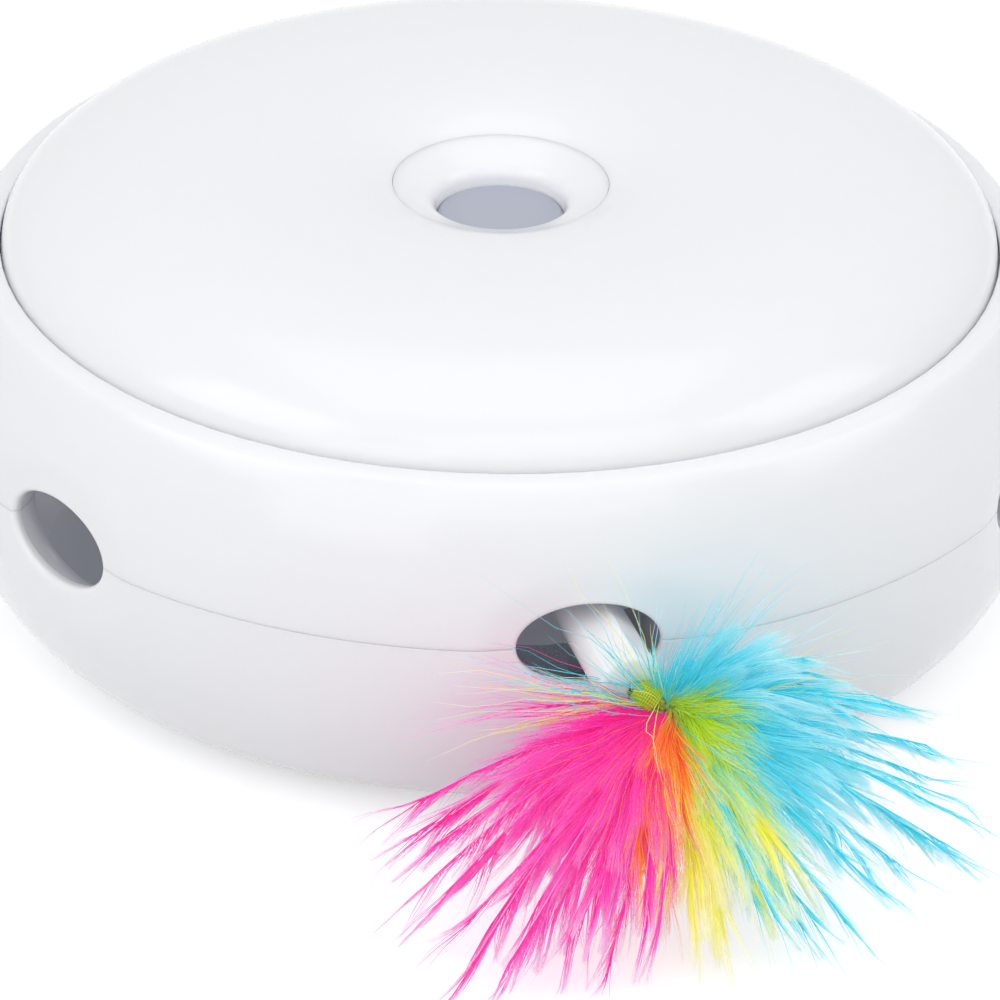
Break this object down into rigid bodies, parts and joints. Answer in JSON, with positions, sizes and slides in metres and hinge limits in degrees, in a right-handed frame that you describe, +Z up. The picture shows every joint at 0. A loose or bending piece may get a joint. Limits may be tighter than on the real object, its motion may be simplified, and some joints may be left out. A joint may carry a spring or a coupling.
{
  "type": "interactive feather cat toy",
  "caption": "Low round gloss cat toy: a driven crank pushes a feather-tipped wand out through one oval side hole after another, with a centre power button.",
  "frame": {"origin": "centre of the casing on the plane of the feet's undersides", "axes": "+Z up along the casing's centre axis; -Y through the middle of the hole that the feather looks out of at rest; +X to the right seen from that side"},
  "size_m": [0.178, 0.2094, 0.0759],
  "materials": {
    "gloss_white_abs": "cool white, high gloss",
    "plain_white_abs": "white, satin",
    "grey_lens": "blue-grey, translucent satin",
    "natural_acetal": "natural ivory, self-lubricating",
    "dark_abs": "dark grey, moulded",
    "board_green": "green solder mask on glass fibre board",
    "plated_steel": "zinc plated",
    "spring_contact": "nickel plated spring strip and wire",
    "cell_label": "printed sleeve over a steel can",
    "grey_rubber": "matt",
    "lamp_resin": "clear resin lens",
    "lime_thread": "wound thread with a little glue",
    "pink_feather": "dyed marabou down",
    "orange_feather": "dyed marabou down",
    "yellow_feather": "dyed marabou down",
    "aqua_feather": "dyed marabou down"
  },
  "bodies": {
    "casing": {"battery_1": "cell_label", "battery_2": "cell_label", "battery_3": "cell_label", "battery_door": "plain_white_abs", "battery_lead": "dark_abs", "battery_tray": "plain_white_abs", "board_screw_1": "plated_steel", "board_screw_2": "plated_steel", "board_screw_3": "plated_steel", "button_bezel": "gloss_white_abs", "centre_axle": "plated_steel", "contact_plate_1": "spring_contact", "contact_plate_2": "spring_contact", "contact_plate_3": "spring_contact", "contact_spring_1": "spring_contact", "contact_spring_2": "spring_contact", "contact_spring_3": "spring_contact", "control_board": "board_green", "cover_screw_1": "plated_steel", "cover_screw_2": "plated_steel", "cover_screw_3": "plated_steel", "cover_screw_4": "plated_steel", "door_screw": "plated_steel", "drive_plate": "plain_white_abs", "foot_1": "grey_rubber", "foot_2": "grey_rubber", "foot_3": "grey_rubber", "foot_4": "grey_rubber", "idler_pin": "plated_steel", "lower_shell": "gloss_white_abs", "motor": "plated_steel", "motor_lead": "dark_abs", "plate_screw_1": "plated_steel", "plate_screw_2": "plated_steel", "plate_screw_3": "plated_steel", "plate_screw_4": "plated_steel", "status_led": "lamp_resin", "tact_switch": "dark_abs", "top_cover": "gloss_white_abs", "upper_shell": "gloss_white_abs"},
    "crank": {"crank_gear": "natural_acetal", "crank_screw": "plated_steel"},
    "wand": {"wand_arm": "gloss_white_abs", "feather_holder": "gloss_white_abs", "quill_binding": "lime_thread", "pink_plume": "pink_feather", "orange_plume": "orange_feather", "yellow_plume": "yellow_feather", "aqua_plume": "aqua_feather"},
    "idler": {"idler_gear": "natural_acetal"},
    "motor_rotor": {"motor_pinion": "natural_acetal"},
    "button": {"power_button": "grey_lens", "switch_plunger": "plain_white_abs"}
  },
  "joints": [
    {"name": "crank_spin", "type": "hinge", "parent": "casing", "child": "crank", "pos_m": [0, 0, 0.0294], "axis": [0, 0, 1], "range_deg": [-900, 900]},
    {"name": "wand_swing", "type": "hinge", "parent": "crank", "child": "wand", "pos_m": [-0.00496, -0.0173, 0.0371], "axis": [0, 0, 1], "range_deg": [-1080, 1080], "deforming": ["pink_plume", "orange_plume", "yellow_plume", "aqua_plume"]},
    {"name": "idler_spin", "type": "hinge", "parent": "casing", "child": "idler", "pos_m": [0.00756, -0.0229, 0.026], "axis": [0, 0, 1], "range_deg": [-3600, 3600]},
    {"name": "motor_spin", "type": "hinge", "parent": "casing", "child": "motor_rotor", "pos_m": [0, -0.036, 0.0235], "axis": [0, 0, 1], "range_deg": [-14400, 14400]},
    {"name": "button_press", "type": "slide", "parent": "casing", "child": "button", "axis": [0, 0, -1], "range_m": [0, 0.0006], "stiffness_N_per_m": 500, "springref_m": -0.002}
  ],
  "couplings": [
    {"joint": "wand_swing", "follows": "crank_spin", "ratio": -1.2},
    {"joint": "idler_spin", "follows": "crank_spin", "ratio": -4},
    {"joint": "motor_spin", "follows": "crank_spin", "ratio": 16}
  ]
}
